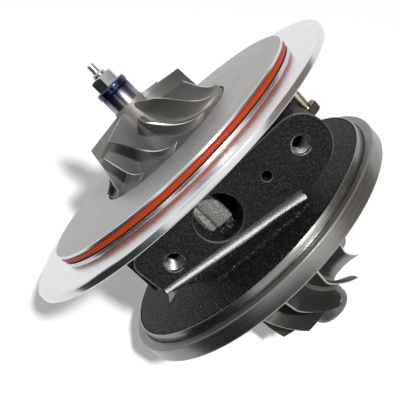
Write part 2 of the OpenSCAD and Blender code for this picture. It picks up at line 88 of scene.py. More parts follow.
class CartridgeFinishes(bpy.types.PropertyGroup):
    """Colours of the finishes."""

    cast_black: colour_prop("Black casting", "Coated casting of the housing", (0.007, 0.007, 0.0068))
    raw_casting: colour_prop("Raw casting", "Sand-cast surface inside the drain", (0.26, 0.25, 0.235))
    cut_iron: colour_prop("Cut iron", "Turned rim of the turbine flange", (0.27, 0.263, 0.253))
    plate_face: colour_prop("Plate face", "Brushed face of the back plate", (0.44, 0.423, 0.412))
    plate_bright: colour_prop("Plate rim", "Polished rims of the back plate", (0.69, 0.70, 0.71))
    silicone: colour_prop("Silicone", "O-ring of the cover", (0.37, 0.041, 0.010))
    wheel_cast: colour_prop("Wheel casting", "Compressor wheel", (0.205, 0.197, 0.188))
    hot_alloy: colour_prop("Hot alloy", "Turbine wheel", (0.165, 0.16, 0.15))
    bright_steel: colour_prop("Bright steel", "Shaft nut and shaft end", (0.60, 0.61, 0.63))
    # The collar's dark navy colour is a painted dark reflection on bright steel.
    steel_painted_dark: colour_prop("Blued steel", "Collar of the shaft nut", (0.045, 0.06, 0.12))
    zinc: colour_prop("Yellow zinc", "Bolts of the back plate", (0.52, 0.45, 0.36))


class CartridgeStudio(bpy.types.PropertyGroup):
    """Light and floor."""

    key_power: power_prop("Key power", "Power of the main lamp", 84.0)
    fill_power: power_prop("Fill power", "Power of the overhead lamp", 0.05)
    strip_power: power_prop("Strip power", "Power of the narrow lamp behind the turbine", 1.8)
    sky: factor_prop("Sky", "Strength of the even white surround", 0.25)
    floor_glow: factor_prop("Floor glow", "Light that the floor adds to what is seen of it", 0.205)


def sizes():
    return bpy.context.scene.cartridge_sizes


def finishes():
    return bpy.context.scene.cartridge_finishes


def studio():
    return bpy.context.scene.cartridge_studio


# Shader helpers

class Shader:
    """Adds nodes to one tree and links them by socket name."""

    def __init__(self, tree):
        self.tree = tree

    def add(self, kind, inputs=None, **settings):
        node = self.tree.nodes.new(kind)
        for key, value in settings.items():
            setattr(node, key, value)
        for key, value in (inputs or {}).items():
            self.feed(node.inputs[key], value)
        return node

    def feed(self, socket, value):
        if isinstance(value, bpy.types.NodeSocket):
            self.tree.links.new(value, socket)
        else:
            socket.default_value = value

    def math(self, operation, a, b=None):
        node = self.add("ShaderNodeMath", {0: a}, operation=operation)
        if b is not None:
            self.feed(node.inputs[1], b)
        return node.outputs[0]

    def span(self, value, low, high, to_low=0.0, to_high=1.0):
        node = self.add("ShaderNodeMapRange", {"Value": value, "From Min": low, "From Max": high,
                                               "To Min": to_low, "To Max": to_high})
        return node.outputs[0]

    def blend(self, factor, a, b):
        node = self.add("ShaderNodeMix", data_type="RGBA")
        for index, value in ((0, factor), (6, a), (7, b)):
            self.feed(node.inputs[index], value)
        return node.outputs[2]

    def noise(self, vector, scale, detail=3.0, rough=0.55):
        return self.add("ShaderNodeTexNoise", {"Vector": vector, "Scale": scale, "Detail": detail,
                                               "Roughness": rough}).outputs["Fac"]

    def place(self):
        return self.add("ShaderNodeTexCoord").outputs["Object"]

    def seen(self):
        """1 where the camera, a reflection or a clear piece looks, and 0 where only light is gathered."""
        path = self.add("ShaderNodeLightPath").outputs
        return self.math("MAXIMUM", path["Is Camera Ray"],
                         self.math("MAXIMUM", path["Is Glossy Ray"], path["Is Transmission Ray"]))


def group(name, inputs, outputs):
    """Empty shader node group with float inputs (name, default) and float outputs."""
    tree = bpy.data.node_groups.new(name, "ShaderNodeTree")
    for key, default in inputs:
        socket = tree.interface.new_socket(key, in_out="INPUT", socket_type="NodeSocketFloat")
        socket.default_value = default
    for key in outputs:
        tree.interface.new_socket(key, in_out="OUTPUT", socket_type="NodeSocketFloat")
    sh = Shader(tree)
    return tree, sh, sh.add("NodeGroupInput").outputs, sh.add("NodeGroupOutput").inputs


def cast_grain_group():
    """Sand-cast skin: bright specks, a lumpy height and slow stains."""
    tree, sh, given, out = group("Cast Grain", [("Grain", 2200.0), ("Specks", 0.3)],
                                 ["Specks", "Height", "Stain", "Fine"])
    here = sh.place()
    fine = sh.noise(here, given["Grain"], 4.0, 0.7)
    lumps = sh.noise(here, sh.math("MULTIPLY", given["Grain"], 0.22), 3.0)
    sh.feed(out["Height"], sh.math("ADD", sh.math("MULTIPLY", fine, 0.6), sh.math("MULTIPLY", lumps, 0.6)))
    spots = sh.noise(here, sh.math("MULTIPLY", given["Grain"], 0.42), 1.0, 0.5)
    low = sh.math("SUBTRACT", 0.74, sh.math("MULTIPLY", given["Specks"], 0.4))
    sh.feed(out["Specks"], sh.span(spots, low, sh.math("ADD", low, 0.2)))
    sh.feed(out["Stain"], sh.span(sh.noise(here, 60.0, 4.0), 0.35, 0.7))
    sh.feed(out["Fine"], sh.span(sh.noise(here, sh.math("MULTIPLY", given["Grain"], 0.36), 2.0), 0.42, 0.66))
    return tree


def turned_lines_group():
    """Lathe marks round the rotor axis, and slow streaks along them."""
    tree, sh, given, out = group("Turned Lines", [("Lines per metre", 3000.0), ("Unevenness", 0.25)],
                                 ["Line", "Sweep"])
    axes = sh.add("ShaderNodeSeparateXYZ", {"Vector": sh.place()}).outputs
    radius = sh.math("SQRT", sh.math("ADD", sh.math("MULTIPLY", axes["Y"], axes["Y"]),
                                     sh.math("MULTIPLY", axes["Z"], axes["Z"])))
    turn = sh.math("ARCTAN2", axes["Y"], axes["Z"])
    track = sh.add("ShaderNodeCombineXYZ", {"X": sh.math("MULTIPLY", radius, given["Lines per metre"]),
                                            "Y": sh.math("MULTIPLY", axes["X"], given["Lines per metre"]),
                                            "Z": sh.math("MULTIPLY", turn, given["Unevenness"])}).outputs[0]
    sh.feed(out["Line"], sh.noise(track, 1.0, 2.0, 0.6))
    sweep = sh.add("ShaderNodeCombineXYZ", {"X": sh.math("MULTIPLY", radius, 160.0), "Y": turn}).outputs[0]
    sh.feed(out["Sweep"], sh.noise(sweep, 1.3, 3.0))
    return tree


def dust_group():
    """Faint film that gathers in patches."""
    tree, sh, given, out = group("Handling Film", [("Scale", 90.0), ("Amount", 0.3)], ["Film"])
    patch = sh.span(sh.noise(sh.place(), given["Scale"], 5.0, 0.62), 0.42, 0.75)
    sh.feed(out["Film"], sh.math("MULTIPLY", patch, given["Amount"]))
    return tree


GROUPS = {}


def shared(maker):
    """Node group that a function makes, made once."""
    if maker not in GROUPS:
        GROUPS[maker] = maker()
    return GROUPS[maker]


class Finish:
    """One material: a Principled BSDF and the groups that feed it."""

    def __init__(self, name, metallic=1.0):
        self.material = bpy.data.materials.new(name)
        self.material.use_nodes = True
        self.sh = Shader(self.material.node_tree)
        self.bsdf = self.material.node_tree.nodes["Principled BSDF"]
        self.bsdf.inputs["Metallic"].default_value = metallic

    def use(self, maker, **values):
        node = self.sh.add("ShaderNodeGroup", node_tree=shared(maker))
        for key, value in values.items():
            node.inputs[key.replace("_", " ")].default_value = value
        return node.outputs

    def set(self, **values):
        for key, value in values.items():
            self.sh.feed(self.bsdf.inputs[key.replace("_", " ")], value)

    def bump(self, height, strength, distance):
        node = self.sh.add("ShaderNodeBump", {"Height": height, "Strength": strength, "Distance": distance})
        self.set(Normal=node.outputs["Normal"])


def tone(colour, factor=1.0):
    """Colour with alpha, lighter or darker by a factor."""
    return (*[min(1.0, c * factor) for c in colour[:3]], 1.0)


FINISHES = {}


def finish(name):
    """Material by name, made once."""
    if name not in FINISHES:
        FINISHES[name] = MAKERS[name]()
    return FINISHES[name]


def turned_metal(name, colour, lines, rough, vary=0.06, depth=0.01 * MM, sweep=0.12, metallic=1.0):
    """Lathe-cut metal: lines per metre, roughness and how it varies, depth of lines, tone of the sweep."""
    f = Finish(name, metallic)
    marks = f.use(turned_lines_group, Lines_per_metre=lines)
    film = f.use(dust_group, Scale=70.0, Amount=0.25)["Film"]
    shade = f.sh.math("ADD", f.sh.math("MULTIPLY", marks["Line"], 0.6),
                      f.sh.math("MULTIPLY", marks["Sweep"], 0.4))
    base = f.sh.blend(f.sh.span(shade, 0.3, 0.7), tone(colour, 1 - sweep), tone(colour, 1 + sweep))
    f.set(Base_Color=f.sh.blend(film, base, tone(colour, 0.82)))
    f.set(Roughness=f.sh.math("ADD", f.sh.span(marks["Line"], 0.3, 0.7, rough - vary, rough + vary),
                              f.sh.math("MULTIPLY", film, 0.2)))
    f.bump(marks["Line"], 0.35, depth)
    return f.material


def plate_face():
    return turned_metal("plate_face", finishes().plate_face, lines=2600.0,
                        rough=0.44, depth=0.03 * MM, metallic=0.5)


def plate_bright():
    return turned_metal("plate_bright", finishes().plate_bright, lines=3600.0,
                        rough=0.18, vary=0.04, sweep=0.06)


def plate_flange():
    return turned_metal("plate_flange", finishes().plate_bright, lines=2200.0,
                        rough=0.24, vary=0.05, depth=0.02 * MM, sweep=0.07)


def cut_iron():
    return turned_metal("cut_iron", finishes().cut_iron, lines=4200.0,
                        rough=0.30, depth=0.02 * MM, sweep=0.14)


def cut_wall():
    return turned_metal("cut_wall", (0.25, 0.245, 0.235), lines=4200.0,
                        rough=0.24, depth=0.02 * MM, sweep=0.14)


def cut_land():
    return turned_metal("cut_land", (0.21, 0.205, 0.195), lines=4200.0,
                        rough=0.36, depth=0.02 * MM, sweep=0.2, metallic=0.7)


def black_skin(name, speck_and_glint, specks, rough, depth, shine, vary=0.13):
    """Black coat on a casting: colour and share of the specks, which are partly cast grain and partly painted
    glints, roughness and how much it varies.
    """
    f = Finish(name, 0.0)
    grain = f.use(cast_grain_group, Grain=5200.0, Specks=specks)
    black = finishes().cast_black
    base = f.sh.blend(grain["Stain"], tone(black, 0.4), tone(black, 0.8))
    base = f.sh.blend(grain["Fine"], base, tone(black, 3.2))
    # Bright specks: partly cast grain, partly painted glints that stay bright where little light falls.
    base = f.sh.blend(grain["Specks"], base, tone(speck_and_glint))
    f.set(Base_Color=base, Specular_IOR_Level=shine,
          Roughness=f.sh.span(grain["Height"], 0.35, 0.8, rough - 0.4 * vary, rough + 0.6 * vary))
    f.bump(grain["Height"], 0.5, depth)
    return f.material


def cast_black():
    # Specks this bright are partly painted glints on the casting's dimly lit faces.
    return black_skin("cast_black", (0.50, 0.48, 0.45), specks=0.30, rough=0.50, depth=0.1 * MM, shine=0.10)


def pad_black():
    return black_skin("pad_black", (0.20, 0.19, 0.175), specks=0.16, rough=0.18, depth=0.005 * MM, shine=0.12)


def pad_gloss():
    return black_skin("pad_gloss", (0.10, 0.096, 0.09), specks=0.10, rough=0.17, depth=0.0003 * MM,
                      shine=0.35, vary=0.03)


def raw_casting():
    """Bare sand-cast surface."""
    f = Finish("raw_casting", 0.0)
    grain = f.use(cast_grain_group, Grain=5200.0, Specks=0.3)
    raw = finishes().raw_casting
    base = f.sh.blend(grain["Fine"], tone(raw, 0.45), tone(raw, 1.35))
    f.set(Base_Color=f.sh.blend(grain["Specks"], base, tone(raw, 2.0)), Specular_IOR_Level=0.3,
          Roughness=f.sh.span(grain["Height"], 0.35, 0.8, 0.45, 0.65))
    f.bump(grain["Height"], 0.5, 0.15 * MM)
    return f.material


def orange_silicone():
    """Moulded silicone with a faint film."""
    f = Finish("orange_silicone", 0.0)
    film = f.use(dust_group, Scale=160.0, Amount=0.35)["Film"]
    colour = finishes().silicone
    fine = f.sh.noise(f.sh.place(), 1500.0, 3.0)
    f.set(Base_Color=f.sh.blend(film, tone(colour), tone((0.38, 0.045, 0.012))), Specular_IOR_Level=0.12,
          Roughness=f.sh.span(fine, 0.3, 0.7, 0.34, 0.46))
    f.bump(fine, 0.15, 0.05 * MM)
    return f.material


def cast_metal(name, colour, rough, grain_scale, depth, metallic, specks=0.05):
    """Bare cast metal with a fine grain."""
    f = Finish(name, metallic)
    grain = f.use(cast_grain_group, Grain=grain_scale, Specks=specks)
    film = f.use(dust_group, Scale=120.0, Amount=0.3)["Film"]
    base = f.sh.blend(grain["Stain"], tone(colour, 0.88), tone(colour, 1.12))
    base = f.sh.blend(grain["Specks"], base, tone(colour, 1.7))
    f.set(Base_Color=f.sh.blend(film, base, tone(colour, 0.8)),
          Roughness=f.sh.span(grain["Height"], 0.35, 0.8, rough - 0.06, rough + 0.1))
    f.bump(grain["Height"], 0.3, depth)
    return f.material


def wheel_cast():
    return cast_metal("wheel_cast", finishes().wheel_cast,
                      rough=0.52, grain_scale=2600.0, depth=0.08 * MM, metallic=0.55)


def wheel_edge():
    return turned_metal("wheel_edge", (0.62, 0.61, 0.59), lines=5000.0, rough=0.25, vary=0.05)


def hot_alloy():
    return cast_metal("hot_alloy", finishes().hot_alloy,
                      rough=0.40, grain_scale=2000.0, depth=0.1 * MM, metallic=0.85)


def alloy_edge():
    return turned_metal("alloy_edge", (0.42, 0.41, 0.39), lines=5000.0, rough=0.22, vary=0.05)


def bright_steel():
    return turned_metal("bright_steel", finishes().bright_steel, lines=5200.0, rough=0.13, vary=0.05)


# Bright steel with a painted dark navy reflection, for the nut's collar.
def steel_painted_dark():
    return turned_metal("steel_painted_dark", finishes().steel_painted_dark, lines=4200.0,
                        rough=0.12, vary=0.03, sweep=0.35)


def ground_steel():
    return turned_metal("ground_steel", (0.50, 0.50, 0.51), lines=6000.0, rough=0.22, vary=0.05)


def yellow_zinc():
    return turned_metal("yellow_zinc", finishes().zinc, lines=3000.0,
                        rough=0.22, depth=0.02 * MM, sweep=0.2)


def bolt_head():
    return turned_metal("bolt_head", (0.16, 0.14, 0.115), lines=3000.0,
                        rough=0.30, depth=0.02 * MM, sweep=0.3)


def bearing_bronze():
    return turned_metal("bearing_bronze", (0.55, 0.38, 0.16), lines=4200.0, rough=0.26)


def ring_iron():
    return turned_metal("ring_iron", (0.16, 0.16, 0.17), lines=5000.0, rough=0.3)


def shield_steel():
    return turned_metal("shield_steel", (0.36, 0.34, 0.31), lines=1200.0,
                        rough=0.36, depth=0.03 * MM, sweep=0.2)


def black_rubber():
    """Moulded rubber with a faint film."""
    f = Finish("black_rubber", 0.0)
    fine = f.sh.noise(f.sh.place(), 1800.0, 3.0)
    film = f.use(dust_group, Scale=200.0, Amount=0.4)["Film"]
    f.set(Base_Color=f.sh.blend(film, (0.016, 0.016, 0.016, 1), (0.05, 0.05, 0.05, 1)),
          Roughness=f.sh.span(fine, 0.3, 0.7, 0.45, 0.65))
    f.bump(fine, 0.2, 0.05 * MM)
    return f.material


def nose_painted_navy():
    """Turned metal with a painted reflection whose colour goes from grey through lilac to dark navy toward its
    end.
    """
    f = Finish("nose_painted_navy")
    marks = f.use(turned_lines_group, Lines_per_metre=4200.0)
    along = f.sh.add("ShaderNodeSeparateXYZ", {"Vector": f.sh.place()}).outputs["X"]
    nose_station = f.sh.math("ADD", along, f.sh.span(f.sh.noise(f.sh.place(), 180.0), 0.3, 0.7, -0.001, 0.001))
    # Painted reflection: the colour steps from grey through lilac to dark navy along the nose.
    base = f.sh.blend(f.sh.span(nose_station, 0.0258, 0.0278), (0.30, 0.29, 0.27, 1), (0.26, 0.22, 0.27, 1))
    base = f.sh.blend(f.sh.span(nose_station, 0.0280, 0.0300), base, (0.09, 0.11, 0.20, 1))
    base = f.sh.blend(f.sh.span(nose_station, 0.0300, 0.0318), base, (0.025, 0.03, 0.06, 1))
    f.set(Base_Color=base, Roughness=f.sh.span(marks["Line"], 0.3, 0.7, 0.16, 0.26))
    f.bump(marks["Line"], 0.3, 0.01 * MM)
    return f.material


def tapped_steel():
    return turned_metal("tapped_steel", (0.42, 0.41, 0.395), lines=4000.0, rough=0.24)


def wedge_grey():
    return cast_metal("wedge_grey", (0.20, 0.20, 0.20),
                      rough=0.5, grain_scale=2400.0, depth=0.05 * MM, metallic=0.2, specks=0.1)


def worn_edge():
    return cast_metal("worn_edge", (0.20, 0.195, 0.185),
                      rough=0.36, grain_scale=2400.0, depth=0.05 * MM, metallic=0.8, specks=0.2)


MAKERS = {maker.__name__: maker for maker in (
    plate_face, plate_bright, plate_flange, cut_iron, cut_wall, cut_land, cast_black, pad_black, pad_gloss,
    raw_casting, orange_silicone, wheel_cast, wheel_edge, hot_alloy, alloy_edge, bright_steel, steel_painted_dark,
    ground_steel, yellow_zinc, bolt_head, bearing_bronze, ring_iron, shield_steel, black_rubber, nose_painted_navy,
    tapped_steel, wedge_grey, worn_edge)}


# Mesh helpers

def spread(count, low=0.0, high=1.0):
    """Even steps from low to high, both ends included."""
    return [low + (high - low) * i / count for i in range(count + 1)]


def arc(x, y, r, a0, a1, count):
    """Points on a circle between two angles in degrees."""
    turns = [math.radians(a) for a in spread(count, a0, a1)]
    return [(x + r * math.cos(a), y + r * math.sin(a)) for a in turns]


def piece(name, part, materials, crease=32.0):
    """Mesh object from points in millimetres, faces and marks, smooth but for edges sharper than crease."""
    points, faces, marks = part
    mesh = bpy.data.meshes.new(name)
    mesh.from_pydata([Vector(p) * MM for p in points], [], faces)
    for material in materials:
        mesh.materials.append(finish(material))
    mesh.polygons.foreach_set("material_index", marks)
    bm = bmesh.new()
    bm.from_mesh(mesh)
    bmesh.ops.remove_doubles(bm, verts=bm.verts, dist=1e-7)
    bmesh.ops.recalc_face_normals(bm, faces=bm.faces)
    bm.to_mesh(mesh)
    bm.free()
    mesh.polygons.foreach_set("use_smooth", [True] * len(mesh.polygons))
    mesh.set_sharp_from_angle(angle=math.radians(crease))
    obj = bpy.data.objects.new(name, mesh)
    bpy.context.scene.collection.objects.link(obj)
    return obj


def dress(obj, node, body):
    """The piece stands for a CAD node and moves with its body."""
    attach(obj, body)
    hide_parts(node)


def paint(node, name):
    """A CAD node that stays takes a finish."""
    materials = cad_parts[node].data.materials
    materials.clear()
    materials.append(finish(name))


def strip_lit():
    """Collection of the pieces that the strip lamp lights."""
    return bpy.data.collections.get("strip_lit") or bpy.data.collections.new("strip_lit")


def polar(x, r, a):
    """Point from its station on the axis, radius and angle in degrees from Z toward Y."""
    return (x, r * math.sin(math.radians(a)), r * math.cos(math.radians(a)))


def middle(points, face):
    """Middle of a face."""
    return sum((Vector(points[i]) for i in face), Vector()) / len(face)


def lathe(outline, segments=256, mark=0):
    """Outline of (x, r) swept round the axis, closed if it ends where it began."""
    closed = outline[0] == outline[-1]
    line = outline[:-1] if closed else outline
    n = len(line)
    points = [polar(x, r, 360 * k / segments) for k in range(segments) for x, r in line]
    faces = []
    for k in range(segments):
        a, b = k * n, (k + 1) % segments * n
        for i in range(n if closed else n - 1):
            j = (i + 1) % n
            if max(line[i][1], line[j][1]) > 1e-6:
                faces.append((a + i, a + j, b + j, b + i))
    return points, faces, [mark] * len(faces)


def prism(loops, mark=0):
    """Closed mesh through loops of as many points, capped at both ends."""
    n = len(loops[0])
    points = [p for loop in loops for p in loop]
    faces = [tuple(range(n)), tuple(range(len(points) - n, len(points)))]
    for a in range(0, len(points) - n, n):
        for i in range(n):
            j = (i + 1) % n
            faces.append((a + i, a + j, a + n + j, a + n + i))
    return points, faces, [mark] * len(faces)


def softened(outline, radius, steps=3):
    """Outline with each corner of a closed or open (x, r) line rounded by small arcs."""
    closed = outline[0] == outline[-1]
    line = outline[:-1] if closed else outline
    n = len(line)
    out = []
    for i, p in enumerate(line):
        if not closed and i in (0, n - 1):
            out.append(p)
            continue
        a, b = Vector(line[i - 1]) - Vector(p), Vector(line[(i + 1) % n]) - Vector(p)
        cut = min(radius, a.length * 0.45, b.length * 0.45)
        p0, p1 = Vector(p) + a.normalized() * cut, Vector(p) + b.normalized() * cut
        for t in spread(steps):
            q = p0.lerp(Vector(p), t).lerp(Vector(p).lerp(p1, t), t)
            out.append((q.x, q.y))
    if closed:
        out.append(out[0])
    return out


def turned_piece(name, outline, pick, segments=256, soften=0.12, crease=40.0):
    """Lathe piece whose finish is picked by pick(x, r) at the middle of each face."""
    outline = softened(outline, soften) if soften else outline
    points, faces, _ = lathe(outline, segments)
    names, marks = [], []
    for face in faces:
        mid = middle(points, face)
        chosen = pick(mid.x, math.hypot(mid.y, mid.z))
        if chosen not in names:
            names.append(chosen)
        marks.append(names.index(chosen))
    return piece(name, (points, faces, marks), names, crease)


def sheet_solid(rows):
    """Closed mesh from two sheets of points, rows[side][i][j], with its outer edges marked 1."""
    nu, nv = len(rows[0]) - 1, len(rows[0][0]) - 1
    points = [p for side in rows for row in side for p in row]

    def at(s, i, j):
        return s * (nu + 1) * (nv + 1) + i * (nv + 1) + j

    faces, marks = [], []
    for i in range(nu):
        for j in range(nv):
            faces.append((at(0, i, j), at(0, i, j + 1), at(0, i + 1, j + 1), at(0, i + 1, j)))
            faces.append((at(1, i, j), at(1, i + 1, j), at(1, i + 1, j + 1), at(1, i, j + 1)))
            marks += [0, 0]
    for i in range(nu):
        faces.append((at(0, i, nv), at(1, i, nv), at(1, i + 1, nv), at(0, i + 1, nv)))
        faces.append((at(0, i, 0), at(0, i + 1, 0), at(1, i + 1, 0), at(1, i, 0)))
        marks += [1, 0]
    for j in range(nv):
        faces.append((at(0, 0, j), at(1, 0, j), at(1, 0, j + 1), at(0, 0, j + 1)))
        faces.append((at(0, nu, j), at(0, nu, j + 1), at(1, nu, j + 1), at(1, nu, j)))
        marks += [1, 1]
    return points, faces, marks


def blade_solid(us, crowding, at):
    """Blade with its two sides at(u, v, side), its rows crowded toward the root."""
    vs = [0.0] + [0.02 + 0.98 * (j / 14) ** crowding for j in range(15)]
    return sheet_solid([[[at(u, v, side) for v in vs] for u in us] for side in (-1, 1)])


def gather(parts):
    """Joins (points, faces, marks) lists into one."""
    points, faces, marks = [], [], []
    for p, f, m in parts:
        base = len(points)
        points += p
        faces += [tuple(i + base for i in face) for face in f]
        marks += m
    return points, faces, marks


def hexagon(width, x0, x1, chamfer, mark=0, round_steps=8):
    """Hexagon bar with its corners turned down by a conical chamfer at x1."""
    apothem = width / 2
    corner = apothem / math.cos(math.radians(30))
    depth = math.copysign(chamfer, x1 - x0)
    loops = [[], [], [], []]
    count = 6 * round_steps
    for k in range(count):
        r = apothem / math.cos(math.radians(k % round_steps * 60 / round_steps - 30))
        flatness = 1 - (r - apothem) / (corner - apothem)
        stations = (x0, x0 + depth, x1 - depth * (1 - 0.85 * flatness), x1)
        for loop, x, reach in zip(loops, stations, (r, r, r, apothem - 0.12)):
            loop.append(polar(x, reach, 360 * k / count))
    return prism(loops, mark)


def thread(r, x0, x1, pitch, depth, per_turn=48):
    """Helical thread skin between x0 and x1 that fades out at both ends."""
    count = int(abs(x1 - x0) / pitch * per_turn)
    shape = [(0.0, 0.0), (0.25, 0.0), (0.5, 1.0), (0.75, 1.0), (1.0, 0.0)]
    points = []
    for k in range(count + 1):
        x = x0 + (x1 - x0) * k / count
        fade = min(1.0, k / per_turn * 2, (count - k) / per_turn * 2)
        for t, h in shape:
            points.append(polar(x + (t - 0.5) * pitch, r - depth + h * depth * fade, 360 * k / per_turn))
    n = len(shape)
    faces = [(a, a + 1, a + n + 1, a + n) for k in range(count) for a in range(k * n, k * n + n - 1)]
    return points, faces, [0] * len(faces)


def moved(part, matrix):
    """Part with its points moved by a matrix."""
    points, faces, marks = part
    return [tuple(matrix @ Vector(p)) for p in points], faces, marks


# Pieces

class CARTRIDGE_OT_back_plate(bpy.types.Operator):
    """Turned back plate: brushed face, polished spigot and clamping flange"""

    bl_idname = "cartridge.back_plate"
    bl_label = "Back plate"

    def execute(self, context):
        s = sizes()
        rf, t = s.flange_radius / MM, s.flange_thickness / MM
        rs, h = s.spigot_radius / MM, s.spigot_height / MM
        groove = rs - s.ring_section / MM - 0.1
        outline = [(1.7, 8.0), (1.7, 31.4), (h, 31.4), (h, rs - 0.3), (h - 0.3, rs), (3.7, rs), (3.7, groove),
                   (1.0, groove), (1.0, rs), (0, rs), (0, rf - 0.5), (-0.5, rf), (0.4 - t, rf),
                   (-t, rf - 0.4), (-t, 24.9), (-4.7, 24.9), (-4.7, 23.05), (-6.9, 23.05), (-6.9, 24.9),
                   (-7.8, 24.9), (-8.2, 24.5), (-8.2, 13.0), (-6.2, 13.0), (-6.2, 8.0), (1.7, 8.0)]

        def pick(x, r):
            if x > h - 0.05 and r < rs - 0.1 or x > 1.5 and r < 32:
                return "plate_face"
            if x > -0.05 and r > rs + 0.2:
                return "plate_flange"
            return "plate_bright"

        dress(turned_piece("back_plate_turned", outline, pick, 360), "back_plate", "housing")
        return {"FINISHED"}


class CARTRIDGE_OT_rings(bpy.types.Operator):
    """O-rings of the back plate"""

    bl_idname = "cartridge.rings"
    bl_label = "O-rings"

    def execute(self, context):
        s = sizes()
        d = s.ring_section / MM
        centre = s.spigot_radius / MM - d / 2 - 0.05
        seam = 0.04

        def circle(x, r, radius):
            """Section of a ring, with the mould's seam on its outer side."""
            line = arc(x, r, radius, 0, 360, 28)[:-1]
            line[7] = (x, r + radius + seam)
            return line + line[:1]

        ring = turned_piece("o_ring_moulded", circle(2.35, centre, d / 2),
                            lambda x, r: "orange_silicone", 360, 0)
        dress(ring, "compressor_o_ring", "housing")
        inner = turned_piece("inner_o_ring_moulded", circle(-5.8, 24.06, 0.9),
                             lambda x, r: "black_rubber", 180, 0)
        dress(inner, "housing_o_ring", "housing")
        return {"FINISHED"}


class CARTRIDGE_OT_compressor_wheel(bpy.types.Operator):
    """Compressor wheel: full blades and splitters on a curved hub"""

    bl_idname = "cartridge.compressor_wheel"
    bl_label = "Compressor wheel"

    def execute(self, context):
        s = sizes()
        big = s.compressor_radius / MM
        inlet, nose = 23.6, 6.8
        in_x, hub_x, disc_x, out_x = 22.0, 24.4, 4.5, 6.7
        first_blade, splitter_start, buried_root = 32.6, 0.16, 0.7

        def hub(u):
            a = math.radians(90 * u)
            return hub_x - (hub_x - disc_x) * math.sin(a), nose + (big - nose) * (1 - math.cos(a))

        def tip(u):
            a = math.radians(90 * u)
            return in_x - (in_x - out_x) * math.sin(a), inlet + (big - inlet) * (1 - math.cos(a))

        def wrap(u, v):
            return -(5 + 8 * v) * (1 - (1 - u) ** 5) - 32 * u ** 1.6

        def half(u, v):
            body = (0.75 - 0.4 * v) * (0.55 + 0.45 * math.sin(math.pi * min(1, u + 0.15)))
            return body + 1.1 * math.exp(-v * 16)

        def blade(u0, turn):
            def at(u, v, side):
                (xa, ra), (xb, rb) = hub(u), tip(u)
                buried = buried_root if v == 0 else 0.0
                r = ra * (1 - v) + rb * v - buried
                x = xa * (1 - v) + xb * v - buried * u
                thin = half(u, v) * (1.0 if u - u0 > 0.03 else 0.55 + 15 * (u - u0))
                return polar(x, r, turn + wrap(u, v) + side * math.degrees(thin / r))

            return blade_solid(spread(30, u0, 0.997), 1.25, at)

        step = 360 / s.compressor_blades
        parts = []
        for k in range(s.compressor_blades):
            parts.append(blade(0.0, first_blade - step * k))
            parts.append(blade(splitter_start, first_blade - step * (k + 0.5)))
        hub_line = [(1.99, 3.0), (1.99, 8.4), (2.3, 9.0), (2.4, big - 0.1), (2.5, big)]
        hub_line += [hub(u) for u in reversed(spread(28))]
        hub_line += [(25.8, 6.4), (31.9, 6.4), (32.2, 6.1), (32.2, 3.0), (1.99, 3.0)]
        points, faces, _ = lathe(hub_line, 192)
        parts.append((points, faces, [2 if middle(points, face).x > 25.9 else 0 for face in faces]))
        # The wheel's nose takes a painted navy reflection.
        looks = ["wheel_cast", "wheel_edge", "nose_painted_navy"]
        wheel = piece("compressor_wheel_bladed", gather(parts), looks, 38.0)
        dress(wheel, "compressor_wheel", "rotor")
        return {"FINISHED"}


class CARTRIDGE_OT_turbine_wheel(bpy.types.Operator):
    """Turbine wheel: blades turned back at the outlet"""

    bl_idname = "cartridge.turbine_wheel"
    bl_label = "Turbine wheel"

    def execute(self, context):
        s = sizes()
        big = s.turbine_radius / MM
        outlet, root, in_x, nose_x = 25.2, 9.3, -60.4, -101.5
        first_blade, hub_end, buried_root = 17, 0.62, 0.8

        def station(u, v):
            return in_x + (3.7 * v - 92 - in_x) * u

        def hub(u):
            return root + (big - 5 - root) * (1 - min(1, u / hub_end)) ** 2.2

        def tip(u):
            return big if u < 0.2 else big - (big - outlet) * math.sin(math.pi / 2 * (u - 0.2) / 0.8)

        def wrap(u, v):
            return -28 * (max(0.0, u - 0.55) / 0.45) ** 1.6 * (1 + 1.1 * (1 - v))

        def half(u, v):
            body = (1.1 - 0.65 * v) * (0.6 + 0.4 * math.sin(math.pi * min(1, u + 0.2)))
            return body + 1.3 * math.exp(-v * 14)

        def blade(turn):
            def at(u, v, side):
                buried = buried_root if v == 0 else 0.0
                r = (hub(u) - buried) * (1 - v) + tip(u) * v
                return polar(station(u, v), r, turn + wrap(u, v) + side * math.degrees(half(u, v) / r))

            return blade_solid(spread(30), 1.2, at)

        parts = [blade(first_blade - 360 / s.turbine_blades * k) for k in range(s.turbine_blades)]
        line = [(-58.6, 0.0), (-58.6, 9.0), (-59.8, big - 4.5), (-60.7, big - 4.8)]
        line += [(station(u, 0), hub(u)) for u in spread(24, 0.0, hub_end)[1:]]
        line += [(x, root) for x in spread(24, -90.0, nose_x + 2.6)]
        nose = [(nose_x + 2.6, root), (nose_x + 0.8, root - 0.8), (nose_x, root - 2.6), (nose_x, 0.0)]
        line += softened(nose, 0.8)[1:]
        points, faces, marks = lathe(line, 200)
        dimple, deep, wide = Vector(polar(-96.1, root, -34.7)), 1.3, 2.1
        for i, p in enumerate(points):
            sunk = deep * max(0.0, 1 - ((Vector(p) - dimple).length / wide) ** 2) ** 0.5
            if sunk:
                points[i] = (p[0], p[1] * (1 - sunk / root), p[2] * (1 - sunk / root))
        parts.append((points, faces, marks))
        wheel = piece("turbine_wheel_bladed", gather(parts), ["hot_alloy", "alloy_edge"], 38.0)
        dress(wheel, "turbine_wheel", "rotor")
        return {"FINISHED"}


